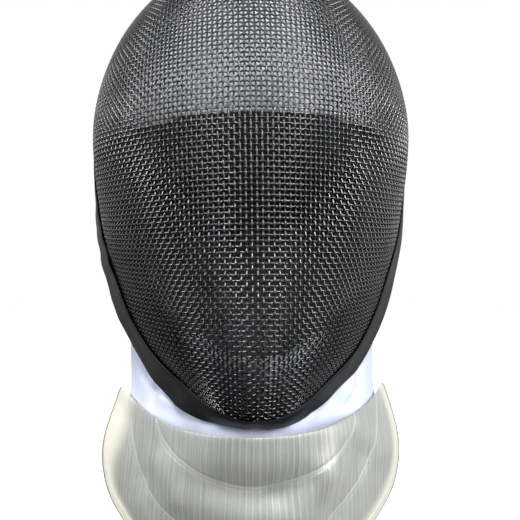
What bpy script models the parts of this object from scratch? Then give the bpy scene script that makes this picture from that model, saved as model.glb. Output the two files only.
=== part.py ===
"""A fencing mask: a wire mesh face shell bound with a trim, padded inside, with a throat bib and a
conductive outer bib, and a spring tongue, back pad and elastic strap behind the head.

Metres, +Z up. The face looks along -Y. The origin is the head seat: the lower face of the crown pad.
"""
import math

import bmesh
import bpy
from mathutils import Vector

MM = 0.001

# Face shell
SHELL_HEIGHT = 308 * MM          # crown to chin
SHELL_HALF_WIDTH = 111 * MM      # at the temples
FRONT_DEPTH = 133 * MM           # from the widest plane to the face's foremost line
SHELL_WALL = 2.2 * MM            # two crossing wires
SEAT_GAP = 0.4 * MM              # between pieces that touch
LINING_GAP = 1.3 * MM            # between the faceted shell and its padding

# Trim round the shell's edge
TRIM_WIDTH = 21 * MM
TRIM_THICKNESS = 2 * MM
TRIM_ROLL = 3.4 * MM             # its thickness at the rolled outer edge

# Padding
CROWN_PAD_THICKNESS = 12 * MM
SIDE_PAD_THICKNESS = 6 * MM
CHIN_PAD_THICKNESS = 7 * MM
PAD_SEAM = 3 * MM                # between one pad and the next
PAD_RIM_MARGIN = 4 * MM          # from the padding to the trim's inner flange
FOREHEAD_EDGE_DROP = 119 * MM    # from the crown down to the forehead pad's lower edge
FOREHEAD_EDGE_SAG = 8 * MM       # how much lower that edge is at the temples
SIDE_PAD_FRONT = 68 * MM         # half distance between the side pads' front edges
SIDE_PAD_TURN = 204 * MM         # from the crown down to where those edges turn in to the chin
SIDE_PAD_TAPER = 0.43            # how fast they turn in
CHIN_EDGE_DROP = 266 * MM        # from the crown down to the chin pad's upper edge at the middle
CHIN_EDGE_RISE = 22 * MM         # how much higher that edge is at the chin pad's ends
CHIN_PAD_HALF_WIDTH = 48 * MM

# Throat bib and outer bib
BIB_THICKNESS = 4 * MM
BIB_TUCK = 9 * MM                # how far inside the trim its side corners start
LAME_THICKNESS = 1.6 * MM
LAME_HALF_WIDTH = 103 * MM
LAME_HEIGHT = 100 * MM           # along the middle
LAME_TOP_DROP = 314 * MM         # from the crown down to the outer bib's top edge at the middle
WING_STANDOFF = 6 * MM           # how far the outer bib's top stands off the throat bib
CURTAIN_DEPTH = 92 * MM          # how far back the bib's sides reach
CURTAIN_POWER = 1.9              # the bib's bend in plan, 2 is a parabola

# Behind the head
BACK_REACH = 104 * MM            # from the widest plane to the back pad's rear face
SPRING_WIDTH = 32 * MM
SPRING_THICKNESS = 1.4 * MM
SPRING_DROP = 296 * MM           # from the crown down to the spring's lower end
SPRING_BEND = 0.58               # how round its bend is, 0.55 is a quarter of an ellipse
BACK_PAD_WIDTH = 196 * MM
BACK_PAD_HEIGHT = 222 * MM
BACK_PAD_THICKNESS = 15 * MM
BACK_PAD_BEND = 180 * MM         # radius of the pad in plan
STRAP_WIDTH = 45 * MM
STRAP_THICKNESS = 2 * MM
STRAP_DROP = 150 * MM            # from the crown down to the strap's middle
STRAP_SPRING_GAP = 2 * MM
STRAP_BEND = 0.6                 # the strap's bend in plan, 1 is an ellipse

# Facets
HALF_SPOKES = 24
FACE_RINGS = 9
PAD_ROWS = 6

CROWN = SHELL_WALL + LINING_GAP + CROWN_PAD_THICKNESS

# The shell's level sections. Latitude in degrees names each section: -90 is under the chin, 90 the crown.
# Drop is a share of SHELL_HEIGHT, half_width of SHELL_HALF_WIDTH, front of FRONT_DEPTH. Open is 0 for half an
# ellipse and 1 for a section whose sides still spread where they reach the widest plane.
SECTIONS = (
    # latitude, drop, half_width, front, open
    (-84, 1.011, 0.550, 0.414, 1.00),
    (-77, 0.999, 0.580, 0.617, 1.00),
    (-70, 0.979, 0.600, 0.737, 1.00),
    (-60, 0.935, 0.643, 0.816, 1.00),
    (-49, 0.870, 0.775, 0.921, 1.00),
    (-39, 0.797, 0.855, 0.981, 1.00),
    (-29, 0.711, 0.900, 1.000, 0.80),
    (-16, 0.591, 0.962, 0.998, 0.45),
    (0, 0.429, 1.000, 0.965, 0.10),
    (15, 0.318, 0.966, 0.900, 0.00),
    (30, 0.214, 0.866, 0.796, 0.00),
    (45, 0.126, 0.707, 0.653, 0.00),
    (60, 0.058, 0.500, 0.473, 0.00),
    (75, 0.015, 0.259, 0.259, 0.00),
    (90, 0.000, 0.000, 0.000, 0.00),
)

# Where the trim's inner edge runs, from the chin to the crown's back. Longitude 0 is the face, 180 the back.
EDGE = (
    # latitude, longitude
    (-71, 0), (-67, 26), (-58.7, 48.4), (-53, 57.6), (-46, 67), (-38.4, 74.5), (-32, 79), (-17.8, 87.4),
    (-5.4, 91.3), (10, 93.6), (25, 96), (40, 100.4), (50, 105), (60.6, 112.8), (69.5, 132.7), (75.7, 180),
)
FACE_CENTRE = (-17.8, 0)

# The bib's level sections. Drop is a share of SHELL_HEIGHT below the crown, front of FRONT_DEPTH,
# half_width of LAME_HALF_WIDTH and depth of CURTAIN_DEPTH.
CURTAIN = (
    # drop, front, half_width, depth
    (0.700, 0.700, 0.880, 1.00),
    (0.968, 0.725, 0.880, 1.00),
    (1.100, 0.665, 1.000, 0.88),
    (1.250, 0.590, 1.047, 0.78),
    (1.345, 0.535, 1.065, 0.74),
)

# The outer bib's side edge. Down is a share of its height at the middle, half_width of LAME_HALF_WIDTH
# and drop a share of LAME_HEIGHT below its top edge at the middle.
LAME_SIDE = (
    # down, half_width, drop
    (0.00, 0.910, -0.160),
    (0.20, 0.965, 0.000),
    (0.40, 1.000, 0.200),
    (0.60, 0.975, 0.400),
    (0.80, 0.880, 0.580),
    (1.00, 0.660, 0.800),
)
# The throat bib's side edge, from the trim down, in the same shares.
BIB_SIDE = (
    # down, half_width, drop
    (0.00, 0.890, -0.900),
    (0.25, 0.885, -0.480),
    (0.45, 0.880, -0.140),
    (0.60, 0.935, 0.150),
    (0.75, 0.945, 0.360),
    (0.88, 0.850, 0.570),
    (1.00, 0.640, 0.780),
)


def material(name, colour, roughness, metallic=0.0):
    made = bpy.data.materials.new(name)
    made.use_nodes = True
    shader = made.node_tree.nodes["Principled BSDF"]
    shader.inputs["Base Color"].default_value = (*colour, 1.0)
    shader.inputs["Roughness"].default_value = roughness
    shader.inputs["Metallic"].default_value = metallic
    return made


def read(table, at):
    """The columns of a table at a value of its first column, on a smooth curve through its rows."""
    last = len(table) - 1
    row = min(max(sum(1 for line in table if line[0] <= at) - 1, 0), last - 1)
    low, high = table[row], table[row + 1]
    span = high[0] - low[0]
    share = (at - low[0]) / span
    before, after = table[max(row - 1, 0)], table[min(row + 2, last)]
    values = []
    for column in range(1, len(low)):
        rise = high[column] - low[column]
        low_slope = (high[column] - before[column]) / (high[0] - before[0]) * span
        high_slope = (after[column] - low[column]) / (after[0] - low[0]) * span
        if 0 <= share <= 1:
            value = (low[column] + low_slope * share
                     + (3 * rise - 2 * low_slope - high_slope) * share ** 2
                     + (low_slope + high_slope - 2 * rise) * share ** 3)
        elif share < 0:
            value = low[column] + low_slope * share
        else:
            value = high[column] + high_slope * (share - 1)
        values.append(value)
    return values


def heading(latitude, longitude):
    """A unit direction from the middle of the head."""
    lat, lon = math.radians(latitude), math.radians(longitude)
    return Vector((math.cos(lat) * math.sin(lon), -math.cos(lat) * math.cos(lon), math.sin(lat)))


def skin(direction):
    """The point of the shell's outer face in a direction."""
    latitude = math.degrees(math.asin(max(-1.0, min(1.0, direction.z))))
    longitude = math.atan2(direction.x, -direction.y)
    drop, half_width, front, spread = read(SECTIONS, latitude)
    across = (1 - spread) * math.sin(longitude) + spread * math.sqrt(2) * math.sin(longitude / 2)
    return Vector((
        half_width * SHELL_HALF_WIDTH * across,
        -front * FRONT_DEPTH * math.cos(longitude),
        CROWN - drop * SHELL_HEIGHT,
    ))


def outward(direction):
    """The outer face's unit normal in a direction."""
    side = direction.orthogonal().normalized()
    other = direction.cross(side)
    step = 0.01
    first = skin((direction + side * step).normalized()) - skin((direction - side * step).normalized())
    second = skin((direction + other * step).normalized()) - skin((direction - other * step).normalized())
    normal = first.cross(second).normalized()
    return normal if normal.dot(direction) > 0 else -normal


class Spoke:
    """A line over the shell from the middle of the face to its edge and on under the trim."""

    STEPS = 160
    REACH = 1.5

    def __init__(self, edge_heading):
        self.start = heading(*FACE_CENTRE)
        self.end = edge_heading
        self.angle = self.start.angle(edge_heading)
        self.runs = [0.0]
        last = self.point_at(0)
        for step in range(1, self.STEPS + 1):
            point = self.point_at(step * self.REACH / self.STEPS)
            self.runs.append(self.runs[-1] + (point - last).length)
            last = point
        self.length = self.run_at(1.0)

    def direction(self, share):
        angle = self.angle
        return ((math.sin((1 - share) * angle) * self.start + math.sin(share * angle) * self.end)
                / math.sin(angle))

    def point_at(self, share):
        return skin(self.direction(share))

    def run_at(self, share):
        place = share / self.REACH * self.STEPS
        index = min(int(place), self.STEPS - 1)
        return self.runs[index] + (self.runs[index + 1] - self.runs[index]) * (place - index)

    def share_at(self, run):
        """The share of the spoke at a length from the middle of the face."""
        index = sum(1 for length in self.runs if length <= run) - 1
        index = min(max(index, 0), self.STEPS - 1)
        part = (run - self.runs[index]) / (self.runs[index + 1] - self.runs[index])
        return (index + part) / self.STEPS * self.REACH

    def place(self, past, lift):
        """The point a length past the trim's inner edge, lifted off the outer face."""
        under = min(past, TRIM_WIDTH)
        direction = self.direction(self.share_at(self.length + under))
        point = skin(direction) + outward(direction) * lift
        if past > TRIM_WIDTH:
            point += self.onward() * (past - TRIM_WIDTH)
        return point

    def onward(self):
        """The direction in which the shell's face runs out at its edge."""
        share = self.share_at(self.length + TRIM_WIDTH)
        return (self.point_at(share + 0.01) - self.point_at(share - 0.01)).normalized()

    def reach(self, test, otherwise=0.0):
        """How far past the trim's inner edge the spoke first passes a test; negative is on the face."""
        for step in range(self.STEPS):
            share = step / self.STEPS
            if test(self.point_at(share)):
                return self.run_at(share) - self.length
        return otherwise


def edge_headings():
    """Evenly spaced directions of the trim's inner edge, chin to crown and down the other side."""
    fine = []
    rows = [heading(*row) for row in EDGE]
    table = [(index, *row) for index, row in enumerate(rows)]
    steps = 12 * (len(rows) - 1)
    for step in range(steps + 1):
        fine.append(Vector(read(table, step / 12)).normalized())
    lengths = [0.0]
    for first, second in zip(fine, fine[1:]):
        lengths.append(lengths[-1] + (skin(second) - skin(first)).length)
    half = []
    for index in range(HALF_SPOKES + 1):
        wanted = lengths[-1] * index / HALF_SPOKES
        at = min(max(sum(1 for length in lengths if length <= wanted) - 1, 0), steps - 1)
        part = (wanted - lengths[at]) / (lengths[at + 1] - lengths[at])
        half.append(fine[at].lerp(fine[at + 1], part).normalized())
    mirrored = [Vector((-d.x, d.y, d.z)) for d in reversed(half[1:-1])]
    return half + mirrored


SPOKES = [Spoke(direction) for direction in edge_headings()]
SPOKE_COUNT = len(SPOKES)


def spokes_between(first, last):
    """Spokes by number. 0 is the chin's, HALF_SPOKES the crown's, negative numbers lie on the left."""
    return [SPOKES[number % SPOKE_COUNT] for number in range(first, last + 1)]


def solid(name, outer, inner, made_of, wrap=False):
    """One closed body between two grids of points, joined round their edges."""
    rows, columns = len(outer), len(outer[0])
    mesh = bmesh.new()
    layers = [[[mesh.verts.new(point) for point in row] for row in grid] for grid in (outer, inner)]
    spans = columns if wrap else columns - 1
    for layer in layers:
        for row in range(rows - 1):
            for column in range(spans):
                after = (column + 1) % columns
                mesh.faces.new((layer[row][column], layer[row][after],
                                layer[row + 1][after], layer[row + 1][column]))
    border = [[(row, column) for column in range(columns)] for row in (0, rows - 1)]
    if wrap:
        loops = [line + line[:1] for line in border]
    else:
        right = [(row, columns - 1) for row in range(rows)]
        left = [(row, 0) for row in range(rows)]
        loops = border + [right, left]
    for loop in loops:
        for (row, column), (next_row, next_column) in zip(loop, loop[1:]):
            corners = (layers[0][row][column], layers[0][next_row][next_column],
                       layers[1][next_row][next_column], layers[1][row][column])
            if (corners[0].co - corners[1].co).length > 1e-7:
                mesh.faces.new(corners)
    return finish(name, mesh, made_of)


def ring_solid(name, sections, made_of, wrap):
    """One closed body through sections that are closed outlines of as many points each."""
    mesh = bmesh.new()
    rings = [[mesh.verts.new(point) for point in section] for section in sections]
    pairs = list(zip(rings, rings[1:]))
    if wrap:
        pairs.append((rings[-1], rings[0]))
    else:
        mesh.faces.new(rings[0])
        mesh.faces.new(rings[-1])
    for first, second in pairs:
        for index in range(len(first)):
            after = (index + 1) % len(first)
            mesh.faces.new((first[index], first[after], second[after], second[index]))
    return finish(name, mesh, made_of)


def finish(name, mesh, made_of):
    """Make an object of a bmesh: weld it, point its faces out and shade it smooth but for sharp edges."""
    bmesh.ops.remove_doubles(mesh, verts=mesh.verts, dist=1e-6)
    bmesh.ops.triangulate(mesh, faces=mesh.faces)
    bmesh.ops.recalc_face_normals(mesh, faces=mesh.faces)
    data = bpy.data.meshes.new(name)
    mesh.to_mesh(data)
    mesh.free()
    data.materials.append(made_of)
    data.shade_smooth()
    data.set_sharp_from_angle(angle=math.radians(40))
    made = bpy.data.objects.new(name, data)
    bpy.context.collection.objects.link(made)
    return made


def thicken(grid, thickness):
    """Two grids, half a thickness to each side of a grid of points."""
    rows, columns = len(grid), len(grid[0])
    front, back = [], []
    for row in range(rows):
        front_row, back_row = [], []
        for column in range(columns):
            down = grid[min(row + 1, rows - 1)][column] - grid[max(row - 1, 0)][column]
            across = grid[row][min(column + 1, columns - 1)] - grid[row][max(column - 1, 0)]
            half = down.cross(across).normalized() * thickness / 2
            front_row.append(grid[row][column] + half)
            back_row.append(grid[row][column] - half)
        front.append(front_row)
        back.append(back_row)
    return front, back


def face_shell(made_of):
    """The wire mesh face as a plain wall, from the middle of the face to its edge."""
    outer, inner = [], []
    shares = [ring / FACE_RINGS - 1 for ring in range(FACE_RINGS)]
    for share in shares:
        outer.append([spoke.place(share * spoke.length, 0) for spoke in SPOKES])
        inner.append([spoke.place(share * spoke.length, -SHELL_WALL) for spoke in SPOKES])
    for past in (0, TRIM_WIDTH / 2, TRIM_WIDTH):
        outer.append([spoke.place(past, 0) for spoke in SPOKES])
        inner.append([spoke.place(past, -SHELL_WALL) for spoke in SPOKES])
    return solid("mesh_shell", outer, inner, made_of, wrap=True)


def trim(made_of):
    """A band folded over the shell's edge: wide outside, narrow inside."""
    middle, end = TRIM_WIDTH / 2, TRIM_WIDTH
    gap, thick = SEAT_GAP, TRIM_THICKNESS
    under = -SHELL_WALL - gap
    outline = (
        (0, gap + 0.6 * thick), (middle, gap + thick), (end, gap + TRIM_ROLL),
        (end + gap + 0.8 * thick, gap + 0.7 * TRIM_ROLL), (end + gap + thick, -SHELL_WALL / 2),
        (end + gap + 0.8 * thick, under - 0.3 * thick), (end, under - thick),
        (middle, under - 0.7 * thick), (middle, under), (end, under), (end + gap, under),
        (end + gap, gap), (end, gap), (middle, gap), (0, gap),
    )
    sections = [[spoke.place(past, lift) for past, lift in outline] for spoke in SPOKES]
    return ring_solid("rim_trim", sections, made_of, wrap=True)


def pad(name, spokes, start, stop, thickness, made_of):
    """Padding against the shell's inner face, thinner along its edges."""
    clear = -SHELL_WALL - LINING_GAP
    last = TRIM_WIDTH / 2 - PAD_RIM_MARGIN
    outer, inner = [], []
    for row in range(PAD_ROWS + 1):
        outer_row, inner_row = [], []
        for column, spoke in enumerate(spokes):
            low = spoke.reach(start)
            high = spoke.reach(stop, last) if stop else last
            low = min(low, high - PAD_SEAM)
            past = low + (high - low) * row / PAD_ROWS
            edge = row in (0, PAD_ROWS) or column in (0, len(spokes) - 1)
            outer_row.append(spoke.place(past, clear))
            inner_row.append(spoke.place(past, clear - thickness * (0.5 if edge else 1.0)))
        outer.append(outer_row)
        inner.append(inner_row)
    return solid(name, outer, inner, made_of)


def forehead_edge(point):
    """The height of the forehead pad's lower edge over a point."""
    return CROWN - FOREHEAD_EDGE_DROP - FOREHEAD_EDGE_SAG * (point.x / SIDE_PAD_FRONT) ** 2


def chin_edge(point):
    """The height of the chin pad's upper edge over a point."""
    return CROWN - CHIN_EDGE_DROP + CHIN_EDGE_RISE * (point.x / CHIN_PAD_HALF_WIDTH) ** 2


def pads(white, dark):
    """The forehead, side and chin padding."""
    def over_forehead(point):
        return point.z > forehead_edge(point)

    def under_forehead(point):
        return point.z > forehead_edge(point) - PAD_SEAM

    def side_front(point):
        return SIDE_PAD_FRONT - SIDE_PAD_TAPER * max(0.0, CROWN - SIDE_PAD_TURN - point.z)

    def past_side_front(point):
        return abs(point.x) > side_front(point)

    def near_side_front(point):
        return abs(point.x) > side_front(point) - PAD_SEAM

    def under_chin_edge(point):
        return point.z < chin_edge(point)

    top = HALF_SPOKES
    pad("forehead_pad", spokes_between(top - 10, top + 10), over_forehead, None, CROWN_PAD_THICKNESS, white)
    pad("chin_pad", spokes_between(-5, 5), under_chin_edge, near_side_front, CHIN_PAD_THICKNESS, white)
    sides = {"side_pad_right": (3, 17), "side_pad_left": (-17, -3)}
    for name, (first, last) in sides.items():
        pad(name, spokes_between(first, last), past_side_front, under_forehead, SIDE_PAD_THICKNESS, dark)


def curtain(x, z):
    """The point of the outer bib's middle surface over a place in the front view."""
    front, half_width, depth = read(CURTAIN, (CROWN - z) / SHELL_HEIGHT)
    back = (abs(x) / (half_width * LAME_HALF_WIDTH)) ** CURTAIN_POWER
    return Vector((x, -front * FRONT_DEPTH + back * depth * CURTAIN_DEPTH, z))


def behind_curtain(x, z, distance):
    """The point a distance behind the outer bib's middle surface."""
    step = 1 * MM
    across = curtain(x + step, z) - curtain(x - step, z)
    up = curtain(x, z + step) - curtain(x, z - step)
    return curtain(x, z) + up.cross(across).normalized() * distance


def bib_place(side, across, down, top_drop, height, edge_power):
    """A place of a bib in the front view, by its share across and down."""
    half_width, edge_drop = read(side, down)
    middle = top_drop + height * down
    edge = LAME_TOP_DROP + edge_drop * LAME_HEIGHT
    drop = middle + (edge - middle) * abs(across) ** edge_power
    return across * half_width * LAME_HALF_WIDTH, CROWN - drop


def outer_bib(made_of):
    """The conductive bib: a thin shield that bends round the throat, its top corners standing off."""
    columns, rows = 20, 9
    grid = []
    for row in range(rows + 1):
        down = row / rows
        line = []
        for column in range(columns + 1):
            across = 2 * column / columns - 1
            x, z = bib_place(LAME_SIDE, across, down, LAME_TOP_DROP, LAME_HEIGHT, 4 - 2 * down)
            line.append(curtain(x, z))
        grid.append(line)
    return solid("bib_lame", *thicken(grid, LAME_THICKNESS), made_of)


def throat_bib(made_of):
    """The padded bib that hangs from the trim behind the outer bib."""
    rows, last = 9, 7
    spokes = spokes_between(-last, last)
    hang = TRIM_WIDTH + 2 * SEAT_GAP + TRIM_THICKNESS + BIB_THICKNESS / 2
    tops = []
    for number, spoke in enumerate(spokes):
        tuck = BIB_TUCK * (number / last - 1) ** 2
        tops.append(spoke.place(hang, -SHELL_WALL / 2 - tuck))
    top_drop = CROWN - tops[last].z
    height = LAME_TOP_DROP + LAME_HEIGHT - top_drop - 1.5 * MM
    seated = (BIB_THICKNESS + LAME_THICKNESS) / 2 + SEAT_GAP
    grid = []
    for row in range(rows + 1):
        down = row / rows
        line = []
        for column, top in enumerate(tops):
            across = column / last - 1
            x, z = bib_place(BIB_SIDE, across, down, top_drop, height, 3 - down)
            start_x, start_z = bib_place(BIB_SIDE, across, 0, top_drop, height, 3)
            stand = seated + WING_STANDOFF * (1 - down)
            point = behind_curtain(x, z, stand)
            miss = top - behind_curtain(start_x, start_z, seated + WING_STANDOFF)
            line.append(point + miss * (1 - down) ** 2)
        grid.append(line)
    return solid("bib", *thicken(grid, BIB_THICKNESS), made_of)


def spring(made_of):
    """A steel strip from under the trim at the crown's back, down behind the head."""
    crown = SPOKES[HALF_SPOKES]
    round_room = SPRING_WIDTH ** 2 / (6 * SHELL_HALF_WIDTH)
    under = -SHELL_WALL - 2 * SEAT_GAP - TRIM_THICKNESS - SPRING_THICKNESS / 2 - round_room
    start = crown.place(TRIM_WIDTH / 2 + SEAT_GAP, under)
    leave = crown.place(TRIM_WIDTH, under)
    bottom = Vector((0, BACK_REACH + SEAT_GAP + SPRING_THICKNESS / 2, CROWN - SPRING_DROP))
    upright = bottom + Vector((0, 0, BACK_PAD_HEIGHT))
    handles = (leave, leave + crown.onward() * (bottom.y - leave.y) * SPRING_BEND,
               upright + Vector((0, 0, (leave.z - upright.z) * SPRING_BEND)), upright)
    steps = 12
    line = [start]
    for step in range(steps + 1):
        share = step / steps
        weights = ((1 - share) ** 3, 3 * share * (1 - share) ** 2, 3 * share ** 2 * (1 - share), share ** 3)
        line.append(sum((point * weight for point, weight in zip(handles, weights)), Vector()))
    line += [upright.lerp(bottom, step / 4) for step in range(1, 5)]
    grid = [[point + Vector((side * SPRING_WIDTH / 2, 0, 0)) for side in (-1, 1)] for point in line]
    return solid("back_spring", *thicken(grid, SPRING_THICKNESS), made_of)


def back_pad(made_of):
    """The pad on the spring, bent round the back of the head, thinner along its edges."""
    columns, rows = 12, 8
    centre_y = BACK_REACH - BACK_PAD_BEND
    bottom = CROWN - SPRING_DROP
    grids = []
    for inside in (False, True):
        grid = []
        for row in range(rows + 1):
            line = []
            for column in range(columns + 1):
                edge = row in (0, rows) or column in (0, columns)
                depth = BACK_PAD_THICKNESS * (0.55 if edge else 1.0) if inside else 0
                angle = (2 * column / columns - 1) * BACK_PAD_WIDTH / 2 / BACK_PAD_BEND
                radius = BACK_PAD_BEND - depth
                line.append(Vector((radius * math.sin(angle), centre_y + radius * math.cos(angle),
                                    bottom + BACK_PAD_HEIGHT * row / rows)))
            grid.append(line)
        grids.append(grid)
    return solid("back_pad", *grids, made_of)


def strap(made_of):
    """The elastic strap from side to side of the trim, round behind the spring."""
    height = CROWN - STRAP_DROP
    side = min(SPOKES[1:HALF_SPOKES], key=lambda spoke: abs(spoke.place(TRIM_WIDTH, 0).z - height))
    under = -SHELL_WALL - 2 * SEAT_GAP - TRIM_THICKNESS - STRAP_THICKNESS / 2 - 1.6 * MM
    leave = side.place(TRIM_WIDTH, under)
    back = BACK_REACH + SPRING_THICKNESS + STRAP_SPRING_GAP + STRAP_THICKNESS / 2
    columns = 24
    grid = []
    for edge in (1, 0, -1):
        line = []
        for column in range(columns + 1):
            angle = math.pi * (column / columns - 0.5)
            width = leave.x * math.copysign(abs(math.sin(angle)) ** STRAP_BEND, math.sin(angle))
            line.append(Vector((width, leave.y + (back - leave.y) * max(math.cos(angle), 0.0) ** STRAP_BEND,
                                height + edge * STRAP_WIDTH / 2)))
        grid.append(line)
    return solid("back_strap", *thicken(grid, STRAP_THICKNESS), made_of)


def build():
    for old in list(bpy.data.objects):
        bpy.data.objects.remove(old, do_unlink=True)
    wire = material("painted_wire", (0.020, 0.021, 0.022), 0.35)
    binding = material("binding", (0.022, 0.023, 0.025), 0.5)
    white = material("white_cloth", (0.80, 0.82, 0.86), 0.85)
    dark = material("dark_lining", (0.045, 0.046, 0.050), 0.9)
    lame = material("conductive_cloth", (0.46, 0.47, 0.45), 0.45, 0.5)
    steel = material("spring_steel", (0.50, 0.50, 0.51), 0.35, 1.0)
    elastic = material("elastic", (0.030, 0.030, 0.032), 0.8)
    face_shell(wire)
    trim(binding)
    pads(white, dark)
    throat_bib(white)
    outer_bib(lame)
    spring(steel)
    back_pad(dark)
    strap(elastic)


build()
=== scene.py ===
"""Looks of the fencing mask: woven wires, binding, padding, throat bib and conductive outer bib."""

import math

import bmesh
import bpy
import numpy as np
from mathutils import Matrix, Vector, noise
from mathutils.bvhtree import BVHTree
from mathutils.kdtree import KDTree


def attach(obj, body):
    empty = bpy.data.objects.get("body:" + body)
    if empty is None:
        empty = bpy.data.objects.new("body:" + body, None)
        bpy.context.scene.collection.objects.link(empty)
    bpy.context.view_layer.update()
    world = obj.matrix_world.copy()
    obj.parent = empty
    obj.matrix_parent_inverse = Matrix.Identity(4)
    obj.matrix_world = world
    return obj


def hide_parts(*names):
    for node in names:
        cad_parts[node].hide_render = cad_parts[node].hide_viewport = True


MM = 0.001

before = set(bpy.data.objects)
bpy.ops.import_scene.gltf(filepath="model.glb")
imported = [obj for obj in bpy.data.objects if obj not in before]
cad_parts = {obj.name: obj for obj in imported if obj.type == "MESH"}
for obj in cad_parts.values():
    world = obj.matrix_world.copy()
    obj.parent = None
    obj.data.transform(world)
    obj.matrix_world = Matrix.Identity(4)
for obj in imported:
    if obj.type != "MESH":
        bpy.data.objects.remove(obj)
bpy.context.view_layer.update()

# Weave
WIRE = 1.3 * MM                  # wire diameter
PITCH = 3.1 * MM                 # from one wire to the next
CRIMP = 0.58 * MM                # how far a wire rises and falls where it crosses
WIRE_DEPTH = 1.1 * MM            # from the shell's outer face in to the wires' middle
WEAVE_HEIGHT = -138 * MM         # of the straight cross wire
WIRE_SIDES = 5
WIRE_END = 2.4 * MM              # from the wires' ends to the shell's edge, under the binding
WIRE_LEVEL = 0.21                # share of a step that a wire runs level on each side of a crossing
SKIN_REACH = 0.8 * MM            # a crossing lies this near to the shell's outer face
RIM_STEP = 0.5 * MM              # between the points that mark the shell's edge
MOST_CROSSINGS = 110             # along one wire
CROSS_WIRE_SPLIT = 6             # the first cross wire of the upper piece, less one
HUB = Vector((0.0, 0.02, -0.13))  # inside the mask


# Mesh helpers
def points_of(data):
    """A mesh's points as an array of rows x, y, z."""
    flat = np.empty(len(data.vertices) * 3)
    data.vertices.foreach_get("co", flat)
    return flat.reshape(-1, 3)


def set_points(data, points):
    """Move a mesh's points to an array's places."""
    data.vertices.foreach_set("co", np.asarray(points, float).ravel())
    data.update()


def only(piece):
    """Select one object and nothing else."""
    bpy.ops.object.select_all(action="DESELECT")
    piece.select_set(True)
    bpy.context.view_layer.objects.active = piece


def new_piece(name, data):
    """Add an object at the origin for a mesh."""
    piece = bpy.data.objects.new(name, data)
    bpy.context.collection.objects.link(piece)
    return piece


def rise(value, low, high):
    """0 below low, 1 above high and a smooth step between."""
    share = np.clip((value - low) / (high - low), 0, 1)
    return share * share * (3 - 2 * share)


def cage_of(node, name):
    """A copy of a CAD node's facets, joined up and turned to four-sided faces."""
    piece = new_piece(name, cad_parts[node].data.copy())
    piece.data.name = name
    piece.data.materials.clear()
    only(piece)
    if piece.data.has_custom_normals:
        bpy.ops.mesh.customdata_custom_splitnormals_clear()
    bpy.ops.object.mode_set(mode="EDIT")
    bpy.ops.mesh.select_all(action="SELECT")
    bpy.ops.mesh.remove_doubles(threshold=1e-5)
    bpy.ops.mesh.normals_make_consistent(inside=False)
    bpy.ops.mesh.tris_convert_to_quads(face_threshold=math.pi, shape_threshold=math.pi)
    bpy.ops.mesh.mark_sharp(clear=True)
    bpy.ops.object.mode_set(mode="OBJECT")
    return piece


def round_off(piece, levels, turns=3):
    """Subdivide a piece into a smooth skin that still passes through its corners."""
    modifier = piece.modifiers.new("Rounding", "SUBSURF")
    modifier.levels = modifier.render_levels = levels
    rest = points_of(piece.data)
    cage = rest.copy()
    for _ in range(turns):
        bpy.context.view_layer.update()
        shown = piece.evaluated_get(bpy.context.evaluated_depsgraph_get())
        cage += rest - points_of(shown.data)[:len(rest)]
        set_points(piece.data, cage)
    only(piece)
    bpy.ops.object.modifier_apply(modifier=modifier.name)
    bpy.ops.object.shade_smooth()
    return piece


def soft_copy(node, name, levels, turns=3):
    """A smooth copy of a CAD node that takes its place."""
    piece = round_off(cage_of(node, name), levels, turns)
    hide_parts(node)
    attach(piece, "root")
    return piece


# The wire mesh
def shell_skin():
    """The shell's cage, and its outer face alone as an open bmesh."""
    piece = cage_of("mesh_shell", "shell_skin")
    mesh = bmesh.new()
    mesh.from_mesh(piece.data)
    mesh.normal_update()
    start = min(mesh.faces, key=lambda face: face.calc_center_median().y)
    outer, stack = {start}, [start]
    while stack:
        face = stack.pop()
        for edge in face.edges:
            for other in edge.link_faces:
                if other not in outer and face.normal.angle(other.normal) < 0.9:
                    outer.add(other)
                    stack.append(other)
    bmesh.ops.delete(mesh, geom=[face for face in mesh.faces if face not in outer], context="FACES")
    return piece, mesh


def spread_rim(mesh, steps):
    """Carry an open cage on past its edge, so that the weave can be laid out beyond it."""
    for step in steps:
        rim = [edge for edge in mesh.edges if edge.is_boundary]
        heading = {}
        for vert in {vert for edge in rim for vert in edge.verts}:
            along = [edge.other_vert(vert).co for edge in vert.link_edges if edge.is_boundary]
            line = (along[0] - along[-1]).normalized()
            inner = [vert.co - edge.other_vert(vert).co for edge in vert.link_edges if not edge.is_boundary]
            flat = [way - line * way.dot(line) for way in inner]
            heading[vert] = max(flat, key=lambda way: way.length).normalized()
        made = bmesh.ops.extrude_edge_only(mesh, edges=rim)["geom"]
        new = [item for item in made if isinstance(item, bmesh.types.BMVert)]
        for vert in new:
            old = next(edge.other_vert(vert) for edge in vert.link_edges if edge.other_vert(vert) in heading)
            vert.co = vert.co + heading[old] * step


def tree_of(piece):
    """A search tree of a piece's faces."""
    mesh = bmesh.new()
    mesh.from_mesh(piece.data)
    tree = BVHTree.FromBMesh(mesh)
    mesh.free()
    return tree


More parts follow.
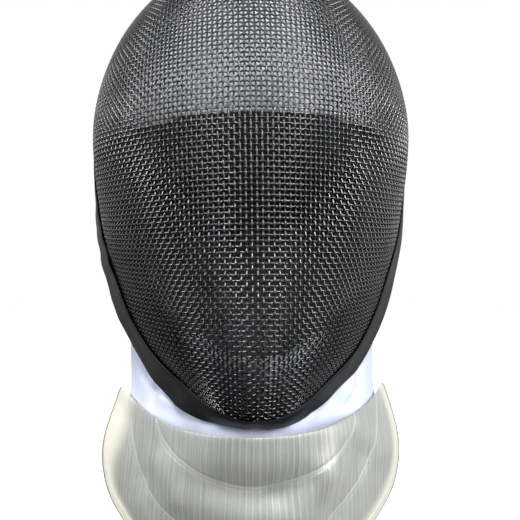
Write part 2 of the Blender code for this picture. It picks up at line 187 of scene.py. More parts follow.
class Fabric:
    """Lays a square weave on the shell: crossings one pitch apart along both wires."""

    def __init__(self):
        piece, mesh = shell_skin()
        mesh.to_mesh(piece.data)
        round_off(piece, 3)
        self.skin = tree_of(piece)
        rim = []
        smooth = bmesh.new()
        smooth.from_mesh(piece.data)
        for edge in smooth.edges:
            if edge.is_boundary:
                first, second = (vert.co.copy() for vert in edge.verts)
                count = max(1, int((second - first).length / RIM_STEP))
                rim += [first.lerp(second, part / count) for part in range(count)]
        smooth.free()
        self.rim = KDTree(len(rim))
        for index, point in enumerate(rim):
            self.rim.insert(point, index)
        self.rim.balance()
        spread_rim(mesh, (0.010, 0.020, 0.030))
        wide = new_piece("wide_skin", bpy.data.meshes.new("wide_skin"))
        mesh.to_mesh(wide.data)
        mesh.free()
        round_off(wide, 3)
        self.wide = tree_of(wide)
        for used in (piece, wide):
            bpy.data.objects.remove(used)

    def on(self, point):
        """The nearest place on the shell's face and its normal, turned outwards."""
        place, normal, _, _ = self.wide.find_nearest(point)
        if normal.dot(place - HUB) < 0:
            normal = -normal
        return place, normal

    def inside(self, point):
        """Whether a crossing lies on the shell and clear of its edge."""
        _, _, _, off = self.skin.find_nearest(point)
        _, _, edge = self.rim.find(point)
        return off < SKIN_REACH and edge > WIRE_END

    def walk(self, start, way, keep_middle):
        """Crossings along one wire that runs straight over the shell."""
        line = [start]
        while len(line) < MOST_CROSSINGS:
            point = line[-1]
            _, normal = self.on(point)
            way = (way - normal * way.dot(normal)).normalized()
            place = point + way * PITCH
            for _ in range(4):
                place, _ = self.on(place)
                if keep_middle:
                    place.x = 0.0
                place = point + (place - point).normalized() * PITCH
            if (self.on(place)[0] - place).length > 0.3 * MM:
                break
            line.append(place)
            way = place - point
        return line

    def quarter(self, upright, cross):
        """Crossings between the middle upright and the straight cross wire, worked out from there."""
        grid = [[None] * len(cross) for _ in upright]
        grid[0] = list(cross)
        for row, point in enumerate(upright):
            grid[row][0] = point
        for row in range(1, len(upright)):
            for column in range(1, len(cross)):
                a, b, c = grid[row][column - 1], grid[row - 1][column], grid[row - 1][column - 1]
                if a is None or b is None or c is None:
                    continue
                grid[row][column] = self.crossing(a, b, c)
        return grid

    def crossing(self, a, b, c):
        """The crossing one pitch from a and from b, on the far side of c."""
        guess = a + b - c
        for _ in range(5):
            place, normal = self.on(guess)
            first, second = place - a, place - b
            side = (first - normal * first.dot(normal)).normalized()
            up = normal.cross(side)
            one, two = first.normalized(), second.normalized()
            g = ((one.dot(side), one.dot(up)), (two.dot(side), two.dot(up)))
            det = g[0][0] * g[1][1] - g[0][1] * g[1][0]
            if abs(det) < 0.25:
                return None
            off = (first.length - PITCH, second.length - PITCH)
            guess = (place - side * ((off[0] * g[1][1] - off[1] * g[0][1]) / det)
                     - up * ((off[1] * g[0][0] - off[0] * g[1][0]) / det))
        place, _ = self.on(guess)
        if abs((place - a).length - PITCH) > 0.15 * PITCH or abs((place - b).length - PITCH) > 0.15 * PITCH:
            return None
        return place

    def crossings(self):
        """{(column, row): (place, normal)}; column 0 is the middle upright."""
        start, normal = self.on(Vector((0.0, -0.2, WEAVE_HEIGHT)))
        start.x = 0.0
        found = {}
        cross = self.walk(start, Vector((1, 0, 0)), False)
        for side in (1, -1):
            upright = self.walk(start, Vector((0, 0, side)), True)
            for row, line in enumerate(self.quarter(upright, cross)):
                for column, place in enumerate(line):
                    if place is None or not self.inside(place):
                        continue
                    place, normal = self.on(place)
                    for mirror in (1, -1):
                        flip = Vector((mirror, 1, 1))
                        found[mirror * column, side * row] = (place * flip, normal * flip)
        return found


def wire_runs(crossings, upright):
    """The unbroken runs of crossings along each wire, as lists of (column, row)."""
    lines = {}
    for column, row in crossings:
        lines.setdefault(column if upright else row, []).append((column, row))
    runs = []
    for line in lines.values():
        line.sort(key=lambda at: at[1] if upright else at[0])
        run = [line[0]]
        for before, at in zip(line, line[1:]):
            step = (at[1] - before[1]) if upright else (at[0] - before[0])
            if step > 1:
                runs.append(run)
                run = []
            run.append(at)
        runs.append(run)
    return [run for run in runs if len(run) > 2]


def wire_line(run, crossings, upright):
    """Points and normals along a wire that rides over one crossing and under the next."""
    place = np.array([crossings[at][0] for at in run])
    normal = np.array([crossings[at][1] for at in run])
    over = np.array([1.0 if (column + row) % 2 == 0 else -1.0 for column, row in run])
    if not upright:
        over = -over
    lift = (over * CRIMP - WIRE_DEPTH)[:, None] * normal
    step = np.diff(place, axis=0)
    before = np.vstack((step[:1], step))
    after = np.vstack((step, step[-1:]))
    points = np.empty((len(run) * 2, 3))
    points[0::2] = place - before * WIRE_LEVEL + lift
    points[1::2] = place + after * WIRE_LEVEL + lift
    return points, np.repeat(normal, 2, axis=0)


def wires(name, runs, crossings, upright):
    """One piece of many wires, each a tube along its run."""
    verts, faces, count = [], [], 0
    angles = np.arange(WIRE_SIDES) * 2 * math.pi / WIRE_SIDES
    for run in runs:
        points, normals = wire_line(run, crossings, upright)
        tangents = np.gradient(points, axis=0)
        tangents /= np.linalg.norm(tangents, axis=1)[:, None]
        normals = normals - tangents * np.sum(normals * tangents, axis=1)[:, None]
        normals /= np.linalg.norm(normals, axis=1)[:, None]
        sides = np.cross(tangents, normals)
        ring = (points[:, None] + WIRE / 2 * (np.cos(angles)[None, :, None] * normals[:, None]
                                              + np.sin(angles)[None, :, None] * sides[:, None]))
        verts.append(ring.reshape(-1, 3))
        total = len(points)
        base = count + np.arange(total - 1)[:, None] * WIRE_SIDES
        here = np.arange(WIRE_SIDES)[None]
        after = (here + 1) % WIRE_SIDES
        faces.append(np.stack((base + here, base + after, base + WIRE_SIDES + after,
                               base + WIRE_SIDES + here), axis=-1).reshape(-1, 4))
        count += total * WIRE_SIDES
    data = bpy.data.meshes.new(name)
    data.from_pydata(np.vstack(verts), [], np.vstack(faces).tolist())
    data.update()
    piece = new_piece(name, data)
    only(piece)
    bpy.ops.object.shade_smooth()
    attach(piece, "root")
    return piece


def woven_mesh(material):
    """The mask's wire mesh in four pieces, in place of the plain shell."""
    crossings = Fabric().crossings()
    uprights = wire_runs(crossings, True)
    cross = wire_runs(crossings, False)
    made = []
    for name, runs, upright in (
            ("uprights_left", [run for run in uprights if run[0][0] < 0], True),
            ("uprights_right", [run for run in uprights if run[0][0] >= 0], True),
            ("cross_wires_upper", [run for run in cross if run[0][1] > CROSS_WIRE_SPLIT], False),
            ("cross_wires_lower", [run for run in cross if run[0][1] <= CROSS_WIRE_SPLIT], False)):
        piece = wires(name, runs, crossings, upright)
        piece.data.materials.append(material)
        made.append(piece)
        print(name, len(runs), "wires", len(piece.data.polygons) * 2, "triangles")
    for piece in made:
        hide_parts("mesh_shell")
    return made


# Materials
def colour(text):
    """Linear colour of an sRGB hex value."""
    parts = [int(text[at:at + 2], 16) / 255 for at in (0, 2, 4)]
    return (*[part / 12.92 if part <= 0.04045 else ((part + 0.055) / 1.055) ** 2.4 for part in parts], 1.0)


def surface(name, hue, roughness, ior=1.5, metallic=0.0):
    """A material with a plain shader, returned with its node tree and shader."""
    material = bpy.data.materials.new(name)
    material.use_nodes = True
    shader = material.node_tree.nodes["Principled BSDF"]
    shader.inputs["Base Color"].default_value = colour(hue)
    shader.inputs["Roughness"].default_value = roughness
    shader.inputs["IOR"].default_value = ior
    shader.inputs["Metallic"].default_value = metallic
    return material, material.node_tree, shader


def add(tree, kind, links=(), **values):
    """Add a node, set its sockets or settings by name and link sockets into it."""
    node = tree.nodes.new("ShaderNode" + kind)
    for name, value in values.items():
        label = name.replace("_", " ")
        socket = next((item for item in node.inputs if item.name.lower() == label.lower()), None)
        if socket:
            socket.default_value = value
        else:
            setattr(node, name, value)
    for name, source in links:
        tree.links.new(source, node.inputs[name])
    return node


def ramp(tree, source, stops):
    """Turn a value into colours by stops of place and hex colour."""
    node = tree.nodes.new("ShaderNodeValToRGB")
    elements = node.color_ramp.elements
    while len(elements) < len(stops):
        elements.new(0.5)
    for element, (place, hue) in zip(elements, stops):
        element.position = place
        element.color = colour(hue)
    tree.links.new(source, node.inputs["Fac"])
    return node


def bands(tree, vector, direction, spacing, **values):
    """Bands across one direction, a spacing in metres apart."""
    return add(tree, "TexWave", [("Vector", vector)], wave_type="BANDS", bands_direction=direction,
               Scale=math.pi / (10 * spacing), **values)


def mix(tree, factor, first, second):
    """Blend two colours, each a socket or a hex colour, and return the blend's socket."""
    node = add(tree, "Mix", [("Factor", factor)], data_type="RGBA")
    for name, value in (("A", first), ("B", second)):
        if isinstance(value, str):
            node.inputs[name].default_value = colour(value)
        else:
            tree.links.new(value, node.inputs[name])
    return node.outputs["Result"]


def bump(tree, shader, source, strength, distance):
    """Bump a shader's surface by a height."""
    node = add(tree, "Bump", [("Height", source)], Strength=strength, Distance=distance)
    tree.links.new(node.outputs["Normal"], shader.inputs["Normal"])


def painted_wire():
    """Gloss black paint on crimped steel wire, rubbed a little in random patches."""
    material, tree, shader = surface("black_painted_wire", "0E0F10", 0.25)
    shader.inputs["Specular IOR Level"].default_value = 0.75
    shader.inputs["Coat Weight"].default_value = 0.5
    shader.inputs["Coat Roughness"].default_value = 0.12
    place = add(tree, "TexCoord").outputs["Object"]
    worn = add(tree, "TexNoise", [("Vector", place)], Scale=90.0, Detail=4.0)
    hue = ramp(tree, worn.outputs["Fac"], ((0.3, "08090A"), (0.7, "18191B")))
    tree.links.new(hue.outputs["Color"], shader.inputs["Base Color"])
    rough = add(tree, "MapRange", [("Value", worn.outputs["Fac"])], From_Min=0.3, From_Max=0.7,
                To_Min=0.17, To_Max=0.3)
    tree.links.new(rough.outputs["Result"], shader.inputs["Roughness"])
    grain = add(tree, "TexNoise", [("Vector", place)], Scale=2500.0, Detail=2.0)
    bump(tree, shader, grain.outputs["Fac"], 0.12, 0.0001)
    return material


def binding():
    """Smooth black coated cloth, folded over the edge of the mesh."""
    material, tree, shader = surface("black_binding", "0C0D0E", 0.5)
    shader.inputs["Specular IOR Level"].default_value = 0.25
    place = add(tree, "TexCoord").outputs["Object"]
    patches = add(tree, "TexNoise", [("Vector", place)], Scale=35.0, Detail=5.0)
    hue = ramp(tree, patches.outputs["Fac"], ((0.3, "08090A"), (0.72, "131416")))
    tree.links.new(hue.outputs["Color"], shader.inputs["Base Color"])
    rough = add(tree, "MapRange", [("Value", patches.outputs["Fac"])], To_Min=0.42, To_Max=0.62)
    tree.links.new(rough.outputs["Result"], shader.inputs["Roughness"])
    creases = add(tree, "TexNoise", [("Vector", place)], Scale=160.0, Detail=6.0)
    bump(tree, shader, creases.outputs["Fac"], 0.25, 0.0008)
    return material


def brushed_cloth(name, hue, shade, painted_shade=None):
    """Napped cloth: fine noise for the nap and slow patches in the colour.

    The last argument is a low height, a high one and a hex colour: painted shade that darkens the cloth from
    the high height down to the low one.
    """
    material, tree, shader = surface(name, hue, 0.9)
    shader.inputs["Sheen Weight"].default_value = 0.25
    shader.inputs["Sheen Roughness"].default_value = 0.5
    place = add(tree, "TexCoord").outputs["Object"]
    patches = add(tree, "TexNoise", [("Vector", place)], Scale=22.0, Detail=4.0)
    tint = ramp(tree, patches.outputs["Fac"], ((0.32, shade), (0.62, hue)))
    tree.links.new(tint.outputs["Color"], shader.inputs["Base Color"])
    # Painted shade: the colour darkens from the high height down to the dark colour at the low one.
    if painted_shade is not None:
        low, high, dark = painted_shade
        height = add(tree, "SeparateXYZ", [("Vector", place)]).outputs["Z"]
        unshaded = add(tree, "MapRange", [("Value", height)], From_Min=low, From_Max=high)
        cloth = mix(tree, unshaded.outputs["Result"], dark, tint.outputs["Color"])
        tree.links.new(cloth, shader.inputs["Base Color"])
    nap = add(tree, "TexNoise", [("Vector", place)], Scale=900.0, Detail=6.0, Roughness=0.7)
    bump(tree, shader, nap.outputs["Fac"], 0.35, 0.0007)
    return material


def woven_cloth(name, hue, shade, thread):
    """Plain woven cloth: two sets of fine threads and soft patches."""
    material, tree, shader = surface(name, hue, 0.85)
    shader.inputs["Sheen Weight"].default_value = 0.2
    place = add(tree, "TexCoord").outputs["Object"]
    across = bands(tree, place, "X", thread, Distortion=0.6)
    down = bands(tree, place, "Z", thread, Distortion=0.6)
    cloth = add(tree, "Math", operation="MULTIPLY")
    tree.links.new(across.outputs["Fac"], cloth.inputs[0])
    tree.links.new(down.outputs["Fac"], cloth.inputs[1])
    patches = add(tree, "TexNoise", [("Vector", place)], Scale=18.0, Detail=4.0)
    tint = ramp(tree, patches.outputs["Fac"], ((0.3, shade), (0.62, hue)))
    tree.links.new(tint.outputs["Color"], shader.inputs["Base Color"])
    bump(tree, shader, cloth.outputs["Value"], 0.25, 0.0003)
    return material


RIB_SPACING = 1.8 * MM           # between the ribs of the metal-thread cloth
LINE_SPACING = 4.1 * MM          # between its light lines


def metal_thread_cloth():
    """Silver-grey metal-thread cloth with upright ribs, lighter at its turned hem and along its seams, with
    painted shade in a dark line along its outer edge.
    """
    material, tree, shader = surface("metal_thread_cloth", "9B9D99", 0.5)
    shader.inputs["Metallic"].default_value = 0.25
    shader.inputs["Sheen Weight"].default_value = 0.2
    flat = add(tree, "UVMap", uv_map="laid_flat").outputs["UV"]
    place = add(tree, "TexCoord").outputs["Object"]
    ribs = bands(tree, flat, "X", RIB_SPACING, Distortion=1.4, Detail=2.0, Detail_Scale=0.6)
    streaks = add(tree, "Mapping", [("Vector", flat)])
    streaks.inputs["Scale"].default_value = (420.0, 14.0, 1.0)
    stripe = add(tree, "TexNoise", [("Vector", streaks.outputs["Vector"])], Scale=1.0, Detail=3.0)
    patches = add(tree, "TexNoise", [("Vector", place)], Scale=26.0, Detail=4.0)
    both = add(tree, "Mix", data_type="FLOAT")
    both.inputs["Factor"].default_value = 0.45
    tree.links.new(stripe.outputs["Fac"], both.inputs["A"])
    tree.links.new(patches.outputs["Fac"], both.inputs["B"])
    cloth = ramp(tree, both.outputs["Result"], ((0.34, "858783"), (0.5, "939591"), (0.66, "A3A49E")))
    lines = bands(tree, flat, "X", LINE_SPACING, Distortion=0.5)
    line = add(tree, "MapRange", [("Value", lines.outputs["Fac"])], From_Min=0.82, From_Max=1.0,
               To_Min=0.0, To_Max=0.4)
    hem_seams_and_edge_shade = add(tree, "Attribute", attribute_name="hem_seams_and_edge_shade")
    parts = add(tree, "SeparateColor", [("Color", hem_seams_and_edge_shade.outputs["Color"])])
    tint = mix(tree, line.outputs["Result"], cloth.outputs["Color"], "B3B7B5")
    tint = mix(tree, parts.outputs["Red"], tint, "DAD8C9")
    tint = mix(tree, parts.outputs["Green"], tint, "B7B9B4")
    # Painted shade: a dark line along the outer edge, from the blue channel.
    tint = mix(tree, parts.outputs["Blue"], tint, "565855")
    tree.links.new(tint, shader.inputs["Base Color"])
    glint = add(tree, "TexVoronoi", [("Vector", flat)], Scale=900.0)
    rough = add(tree, "MapRange", [("Value", glint.outputs["Distance"])], To_Min=0.3, To_Max=0.6)
    tree.links.new(rough.outputs["Result"], shader.inputs["Roughness"])
    height = add(tree, "Math", operation="ADD")
    tree.links.new(ribs.outputs["Fac"], height.inputs[0])
    tree.links.new(stripe.outputs["Fac"], height.inputs[1])
    bump(tree, shader, height.outputs["Value"], 0.14, 0.0003)
    return material


def spring_steel():
    """Rolled spring steel with faint lengthwise lines."""
    material, tree, shader = surface("rolled_spring_steel", "B9B9BA", 0.3, metallic=1.0)
    place = add(tree, "TexCoord").outputs["Object"]
    lines = add(tree, "Mapping", [("Vector", place)])
    lines.inputs["Scale"].default_value = (900.0, 20.0, 20.0)
    brushed = add(tree, "TexNoise", [("Vector", lines.outputs["Vector"])], Scale=1.0, Detail=4.0)
    rough = add(tree, "MapRange", [("Value", brushed.outputs["Fac"])], To_Min=0.22, To_Max=0.42)
    tree.links.new(rough.outputs["Result"], shader.inputs["Roughness"])
    bump(tree, shader, brushed.outputs["Fac"], 0.1, 0.0002)
    return material


def webbing():
    """Black ribbed elastic webbing."""
    material, tree, shader = surface("ribbed_elastic", "222326", 0.8)
    shader.inputs["Sheen Weight"].default_value = 0.3
    place = add(tree, "TexCoord").outputs["Object"]
    ribs = bands(tree, place, "Z", 2.2 * MM, Distortion=0.2)
    hue = ramp(tree, ribs.outputs["Fac"], ((0.2, "141517"), (0.8, "2E3033")))
    tree.links.new(hue.outputs["Color"], shader.inputs["Base Color"])
    bump(tree, shader, ribs.outputs["Fac"], 0.6, 0.0007)
    return material


# Bib
# Creases of the outer bib as lines on its face: x and z of both ends in mm, how high and how wide in mm.
LAME_FOLDS = (
    # x, z, x, z, height, width
    (27, -352, 42, -326, 3.2, 12.0),
    (42, -326, 55, -303, 2.6, 12.0),
    (-6, -350, 27, -352, 2.0, 13.0),
    (-40, -344, -6, -350, 1.2, 13.0),
    (-24, -331, 12, -334, -1.8, 9.0),
    (12, -334, 30, -326, -1.8, 8.0),
    (-30, -312, 24, -312, 1.6, 11.0),
    (52, -352, 70, -322, -2.0, 10.0),
    (-64, -322, -52, -340, 2.0, 11.0),
    (-84, -300, -74, -330, -1.5, 8.0),
    (66, -300, 86, -322, 1.6, 8.0),
    (-72, -352, -50, -372, 2.0, 11.0),
    (10, -372, 40, -380, 1.6, 12.0),
)
# Seams of the outer bib's left half, from the top edge down, as x and z in mm.
# The right half mirrors them.
COLLAR_SEAM = ((-64, -293), (-63.2, -296.8), (-60.2, -302.9), (-53.3, -310.5), (-47.4, -315),
               (-37.2, -320.5), (-26.7, -325), (-16.4, -327.9), (-8, -329.3), (0, -329.7))
SIDE_SEAM = ((-86.5, -284), (-86.2, -289.4), (-84.2, -303.7), (-80, -315.7), (-74.7, -327.8),
             (-67.5, -338), (-58, -348), (-47, -356), (-36, -363))
# Creases of the throat bib, in the same way.
BIB_CREASES = (
    # x, z, x, z, height, width
    (-74.5, -260.6, -72.8, -269, -2.2, 3.5),
    (-72.8, -269, -65.8, -274.9, -2.2, 3.5),
    (-65.8, -274.9, -52, -278.4, -2.2, 3.5),
    (-66, -266, -57, -270, 2.2, 5.0),
    (-67.3, -277.7, -68.6, -287.3, -2.0, 3.0),
    (-60, -281, -48, -286, 2.0, 4.0),
    (-44, -288, -30, -293, -1.6, 4.0),
    (72.4, -262.7, 70.1, -281.4, -2.2, 3.5),
    (70.1, -281.4, 61.2, -289.3, -2.2, 3.5),
    (64.5, -266, 63, -278, 2.2, 5.0),
    (52, -283, 40, -289, -1.6, 4.5),
    (36, -291, 22, -296, 1.6, 4.5),
    (-19.2, -294.9, -13.1, -296.8, -1.6, 3.0),
)


def to_line(points, line):
    """Distance from each point of an (x, z) array to a line of points, all in metres."""
    best = np.full(len(points), 1e9)
    for first, second in zip(line, line[1:]):
        first, second = np.array(first), np.array(second)
        way = second - first
        share = np.clip(((points - first) @ way) / (way @ way), 0, 1)
        best = np.minimum(best, np.linalg.norm(points - first - share[:, None] * way, axis=1))
    return best


def vertex_normals(data):
    """A mesh's point normals as an array."""
    flat = np.empty(len(data.vertices) * 3)
    data.vertices.foreach_get("normal", flat)
    return flat.reshape(-1, 3)


def crease(piece, folds):
    """Press and raise soft folds on the front and back of a cloth piece alike."""
    points = points_of(piece.data)
    normals = vertex_normals(piece.data)
    way = np.where(normals[:, 1:2] > 0, -1.0, 1.0) * normals
    lift = np.zeros(len(points))
    for x0, z0, x1, z1, height, width in folds:
        line = (np.array((x0, z0)) * MM, np.array((x1, z1)) * MM)
        off = to_line(points[:, [0, 2]], line)
        lift += height * MM * np.exp(-(off / (width * MM)) ** 2)
    set_points(piece.data, points + way * lift[:, None])


def ripple(piece, size, height, seed):
    """A slight unevenness over a whole soft piece."""
    points = points_of(piece.data)
    normals = vertex_normals(piece.data)
    shift = Vector((seed * 3.7, seed * 1.3, seed * 2.1))
    lift = np.array([noise.noise(Vector(point) / size + shift) for point in points])
    set_points(piece.data, points + normals * (lift * height)[:, None])


def lay_flat(piece, half_width, depth, power):
    """UVs in metres: along the cloth's curve in plan, and height."""
    points = points_of(piece.data)
    table = np.linspace(0, 0.12, 400)
    slope = depth * power / half_width * (table / half_width) ** (power - 1)
    run = np.concatenate(([0], np.cumsum(np.sqrt(1 + slope[:-1] ** 2) * np.diff(table))))
    along = np.sign(points[:, 0]) * np.interp(np.abs(points[:, 0]), table, run)
    layer = piece.data.uv_layers.new(name="laid_flat")
    loops = np.empty(len(piece.data.loops), int)
    piece.data.loops.foreach_get("vertex_index", loops)
    layer.data.foreach_set("uv", np.stack((along, points[:, 2]), axis=1)[loops].ravel())


SIDE_EDGE = 64 * MM              # the outer bib's hemmed edges lie further out than this
STEEP = 0.45                     # least rise of a hemmed edge for its run
SEAM_WIDTH = 0.6 * MM
SEAM_PULL = 1.6 * MM             # the cloth dips this near to a seam
LEFT_HEM = 12 * MM               # how wide the cream is along the left edge, and how much wider at its top
LEFT_HEM_TOP = 26 * MM
RIGHT_HEM = 14 * MM
RIGHT_HEM_SHARE = 0.65           # how strong the cream is at the right
HEM_TURN = 6 * MM                # the turned-in cloth is thicker this near to the edge


def side_distance(border_mesh, piece):
    """Distance of each vertex of the outer bib to its side borders, where the hem is turned in."""
    mesh = bmesh.new()
    mesh.from_mesh(border_mesh)
    border = []
    for edge in mesh.edges:
        way = edge.verts[1].co - edge.verts[0].co
        upright = abs(way.z) > STEEP * math.hypot(way.x, way.y)
        outside = min(abs(vert.co.x) for vert in edge.verts) > SIDE_EDGE
        if outside and upright and edge.calc_face_angle(0) > 1.0:
            border.append(edge)
    rim = []
    for edge in border:
        first, second = (vert.co.copy() for vert in edge.verts)
        count = max(1, int((second - first).length / (1.0 * MM)))
        rim += [first.lerp(second, part / count) for part in range(count + 1)]
    mesh.free()
    tree = KDTree(len(rim))
    for index, point in enumerate(rim):
        tree.insert(point, index)
    tree.balance()
    return np.array([tree.find(point)[2] for point in points_of(piece.data)])


def lean(piece):
    """Let the outer bib's lower half hang a little to the left, where it spreads."""
    points = points_of(piece.data)
    low = np.clip((-0.292 - points[:, 2]) / 0.08, 0, 1)
    points[:, 0] -= low * (1.0 * MM + 0.045 * np.clip(-points[:, 0], 0, None))
    set_points(piece.data, points)


def outer_bib(material):
    """The conductive bib: metal-thread cloth with a turned hem, two seams and soft folds."""
    cage = cage_of("bib_lame", "outer_bib")
    border = cage.data.copy()
    piece = round_off(cage, 4, 2)
    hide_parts("bib_lame")
    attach(piece, "root")
    points = points_of(piece.data)
    half = np.stack((-np.abs(points[:, 0]), points[:, 2]), axis=1)
    collar = to_line(half, np.array(COLLAR_SEAM) * MM)
    side = to_line(half, np.array(SIDE_SEAM) * MM)
    hem = side_distance(border, piece)
    left = points[:, 0] < 0
    wide = np.where(left, LEFT_HEM + LEFT_HEM_TOP * rise(points[:, 2], -0.35, -0.3), RIGHT_HEM)
    turned = (1 - rise(hem, 0.35 * wide, wide)) * np.where(left, 1.0, RIGHT_HEM_SHARE)
    seam = np.maximum(np.exp(-(collar / SEAM_WIDTH) ** 2), np.exp(-(side / SEAM_WIDTH) ** 2))
    pull = np.maximum(np.exp(-(collar / SEAM_PULL) ** 2), np.exp(-(side / SEAM_PULL) ** 2))
    normals = vertex_normals(piece.data)
    lift = 0.35 * MM * seam - 0.4 * MM * pull + 0.25 * MM * (hem < HEM_TURN)
    set_points(piece.data, points + normals * lift[:, None])
    layer = piece.data.color_attributes.new("hem_seams_and_edge_shade", "FLOAT_COLOR", "POINT")
    shades = np.zeros((len(points), 4))
    shades[:, 0] = turned
    shades[:, 1] = 0.8 * seam
    # Blue channel: painted shade, a dark line along the outer edge.
    shades[:, 2] = 1 - rise(hem, 0.5 * MM, 1.3 * MM)
    shades[:, 3] = 1
    layer.data.foreach_set("color", shades.ravel())
    lay_flat(piece, 0.103, 0.092, 1.9)
    lean(piece)
    crease(piece, LAME_FOLDS)
    ripple(piece, 0.03, 0.5 * MM, 4)
    only(piece)
    thinning = piece.modifiers.new("Thinning", "DECIMATE")
    thinning.ratio = 0.85
    bpy.ops.object.modifier_apply(modifier=thinning.name)
    bpy.data.meshes.remove(border)
    piece.data.materials.append(material)
    return piece


def pucker_binding(piece):
    """The binding's edge stands off in small waves at the left, and its two ends meet at the chin."""
    points = points_of(piece.data)
    z = points[:, 2]
    band = np.exp(-((z + 0.195) / 0.055) ** 2) * (points[:, 0] < 0)
    wave = np.array([noise.noise(Vector((0.3, 0.8, height / 0.012))) for height in z])
    points[:, 0] -= band * (0.9 * MM + 1.6 * MM * wave)
    notch = np.exp(-((points[:, 0] - 0.0005) / 0.0032) ** 2) * (z < -0.27)
    points[:, 2] += notch * 1.1 * MM
    set_points(piece.data, points)


# How far the binding's outer edge stands out or in round the chin: an angle in degrees about the
# point on the mask's middle at EDGE_HUB, and mm.
EDGE_LINE = ((0, 0), (22, 0), (38, 2.4), (50, 0), (64, -3.4), (78, -0.8), (92, -0.9), (108, -2.1), (117, 0),
             (126, 3.8), (140, 4.3), (150, 1.2), (160, 0), (180, 0))


EDGE_HUB = -214.6 * MM
SECTORS = 60                     # in the half circle below the hub


def even_edge(piece):
    """Let the binding widen at the cheeks and narrow at the chin, with its inner edge left in place."""
    points = points_of(piece.data)
    x, down = points[:, 0], EDGE_HUB - points[:, 2]
    angle, reach = np.degrees(np.arctan2(down, x)), np.hypot(down, x)
    low = np.flatnonzero(angle > 0)
    width = 180 // SECTORS
    sector = np.minimum((angle[low] / width).astype(int), SECTORS - 1)
    inner = np.array([reach[low][sector == part].min() for part in range(SECTORS)])
    outer = np.array([reach[low][sector == part].max() for part in range(SECTORS)])
    middles = (np.arange(SECTORS) + 0.5) * width
    near, far = np.interp(angle[low], middles, inner), np.interp(angle[low], middles, outer)
    share = np.clip((reach[low] - near) / (far - near), 0, 1)
    angles, steps = np.array(EDGE_LINE).T
    stretch = 1 + share * np.interp(angle[low], angles, steps) * MM / reach[low]
    points[low, 0] *= stretch
    points[low, 2] = EDGE_HUB - down[low] * stretch
    set_points(piece.data, points)


def finish_soft(piece, material):
    """Give a soft piece its material, in a new slot."""
    piece.data.materials.append(material)
    return piece


# Build the pieces
wire_paint = painted_wire()
woven_mesh(wire_paint)

rim = finish_soft(soft_copy("rim_trim", "folded_binding", 2), binding())
even_edge(rim)
ripple(rim, 0.03, 0.4 * MM, 7)
pucker_binding(rim)

white_pad = brushed_cloth("white_brushed_padding", "F2F5FA", "E2E6F0")
# Chin padding: white cloth with painted shade that darkens it towards the bottom.
chin_cloth = brushed_cloth("white_brushed_padding_painted_shade", "F4F6FA", "E0E4EC", (-0.280, -0.258, "26272A"))
dark_pad = brushed_cloth("dark_brushed_lining", "26282A", "1B1C1E")
# Back padding: a real pad whose near-black cloth is also painted shade, standing in for the shade inside the
# mask.
back_pad_cloth_and_shade = brushed_cloth("black_cloth_and_painted_shade", "17181A", "101112")
for node, name, cloth, slot in (
        ("forehead_pad", "forehead_padding", white_pad, "white_pad"),
        ("chin_pad", "chin_padding", chin_cloth, "white_pad"),
        ("side_pad_left", "side_lining_left", dark_pad, "dark_lining"),
        ("side_pad_right", "side_lining_right", dark_pad, "dark_lining"),
        ("back_pad", "back_padding", back_pad_cloth_and_shade, "dark_lining")):
    turns = 1 if node == "back_pad" else 3
    box = points_of(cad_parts[node].data)
    padding = finish_soft(soft_copy(node, name, 2, turns), cloth)
    if node == "back_pad":
        set_points(padding.data, np.clip(points_of(padding.data), box.min(axis=0), box.max(axis=0)))
    ripple(padding, 0.02, 0.5 * MM, 11)

bib_cloth = woven_cloth("white_bib_cloth", "C6CCDE", "B0B8D2", 0.6 * MM)
throat = finish_soft(soft_copy("bib", "throat_bib", 3), bib_cloth)
crease(throat, BIB_CREASES)
ripple(throat, 0.025, 0.8 * MM, 5)

lame = outer_bib(metal_thread_cloth())

strap = finish_soft(soft_copy("back_strap", "elastic_strap", 2), webbing())

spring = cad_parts["back_spring"]
spring.data.materials.clear()
spring.data.materials.append(spring_steel())

# Stage, light and camera
EYE = Vector((-0.0140, -0.5328, -0.1918))
AIM = Vector((0.0, 0.0, -0.1918))
LENS = 51.37                     # mm, on a sensor 36 mm wide
ROLL = -0.5                      # degrees
FLOOR_HEIGHT = -440 * MM


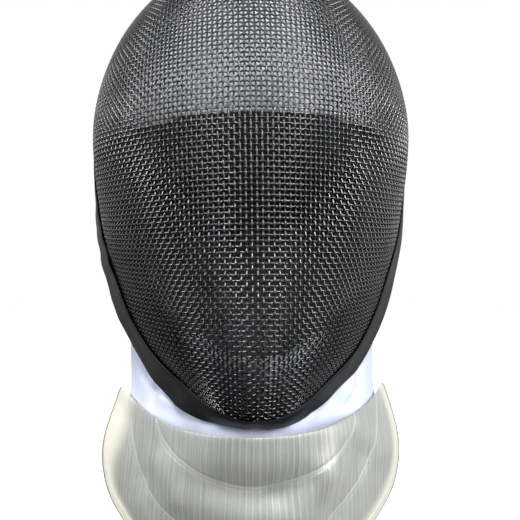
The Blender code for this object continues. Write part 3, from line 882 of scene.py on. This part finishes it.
def studio():
    """A pale floor, and surroundings that look white and light the mask from behind and above."""
    bpy.ops.object.select_all(action="DESELECT")
    bpy.ops.mesh.primitive_plane_add(size=6.0, location=(0, 0, FLOOR_HEIGHT))
    floor = bpy.context.object
    floor.name = "floor"
    material, tree, shader = surface("pale_floor", "F4F4F4", 0.7)
    shader.inputs["Emission Color"].default_value = (1, 1, 1, 1)
    shader.inputs["Emission Strength"].default_value = 0.55
    floor.data.materials.append(material)
    # The floor is kept out of the light on the mask, so that the mesh stays dark from below.
    floor.visible_diffuse = False
    floor.visible_glossy = False
    world = bpy.data.worlds.new("studio")
    bpy.context.scene.world = world
    world.use_nodes = True
    background = world.node_tree.nodes["Background"]
    tree = world.node_tree
    way = add(tree, "SeparateXYZ", [("Vector", add(tree, "TexCoord").outputs["Generated"])])
    behind = add(tree, "Math", operation="MULTIPLY_ADD")
    tree.links.new(way.outputs["Z"], behind.inputs[0])
    behind.inputs[1].default_value = 0.6
    tree.links.new(way.outputs["Y"], behind.inputs[2])
    beside = add(tree, "Math", operation="MULTIPLY_ADD")
    tree.links.new(way.outputs["X"], beside.inputs[0])
    beside.inputs[1].default_value = 0.22
    tree.links.new(behind.outputs["Value"], beside.inputs[2])
    front = add(tree, "MapRange", [("Value", beside.outputs["Value"])], From_Min=-0.4, From_Max=0.5,
                To_Min=0.02, To_Max=0.75)
    seen = add(tree, "LightPath").outputs["Is Camera Ray"]
    light = add(tree, "Mix", [("Factor", seen), ("A", front.outputs["Result"])], data_type="FLOAT")
    light.inputs["B"].default_value = 1.0
    tree.links.new(light.outputs["Result"], background.inputs["Strength"])
    background.inputs["Color"].default_value = (1, 1, 1, 1)


def lamp(name, place, target, size, power):
    """A soft rectangular lamp, size in metres and power in watts."""
    data = bpy.data.lights.new(name, "AREA")
    data.shape = "RECTANGLE"
    data.size, data.size_y = size
    data.energy = power
    lamp_object = bpy.data.objects.new(name, data)
    bpy.context.collection.objects.link(lamp_object)
    lamp_object.location = place
    lamp_object.rotation_euler = (Vector(target) - Vector(place)).to_track_quat("-Z", "Y").to_euler()


def camera():
    """The camera at the photo's viewing angle."""
    data = bpy.data.cameras.new("camera")
    data.lens = LENS
    data.sensor_width = 36.0
    data.shift_x = 0.0163
    data.clip_start = 0.01
    eye = bpy.data.objects.new("camera", data)
    bpy.context.collection.objects.link(eye)
    eye.location = EYE
    turn = (AIM - EYE).to_track_quat("-Z", "Y").to_matrix()
    roll = Matrix.Rotation(math.radians(ROLL), 3, "Z")
    eye.rotation_euler = (turn @ roll).to_euler()
    bpy.context.scene.camera = eye


studio()
lamp("front", (0.15, -1.2, 0.35), (0, -0.05, -0.2), (0.35, 0.3), 15)
lamp("front_top", (-0.2, -0.7, 0.95), (0, -0.05, -0.15), (0.5, 0.35), 9)
lamp("side_right", (1.08, -0.72, 0.1), (0, -0.02, -0.2), (0.45, 0.9), 18)
lamp("side_left", (-1.1, -0.5, 0.2), (0, 0, -0.2), (0.3, 0.9), 12)
lamp("front_low", (0.0, -1.0, -0.38), (0, -0.05, -0.28), (0.7, 0.12), 0.7)
camera()
bpy.context.scene.view_settings.view_transform = "Standard"
